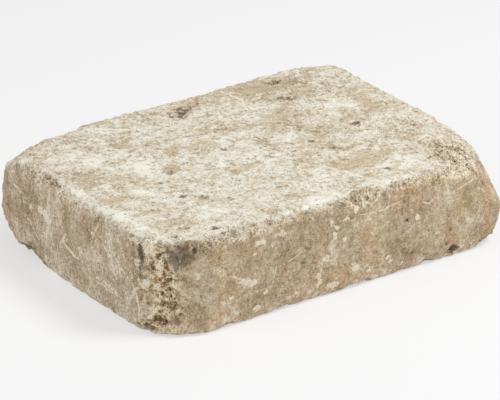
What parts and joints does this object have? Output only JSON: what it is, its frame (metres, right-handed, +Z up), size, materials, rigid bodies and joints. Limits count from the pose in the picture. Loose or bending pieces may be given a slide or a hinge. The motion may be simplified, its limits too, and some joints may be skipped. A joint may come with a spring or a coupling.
{
  "type": "retaining wall block",
  "caption": "Tumbled concrete retaining wall block: a flat rectangular block with worn, rounded and chipped edges, laid flat in courses.",
  "frame": {"origin": "middle of the outline box of the bed face, on the surface that the block rests on", "axes": "+X along the wall (the long side), +Y through the wall from the front face to the back, +Z up from the bed face to the top face"},
  "size_m": [0.281, 0.211, 0.068],
  "materials": {
    "weathered_concrete": "matte"
  },
  "bodies": {
    "root": {"wall_block": "weathered_concrete"}
  },
  "joints": []
}
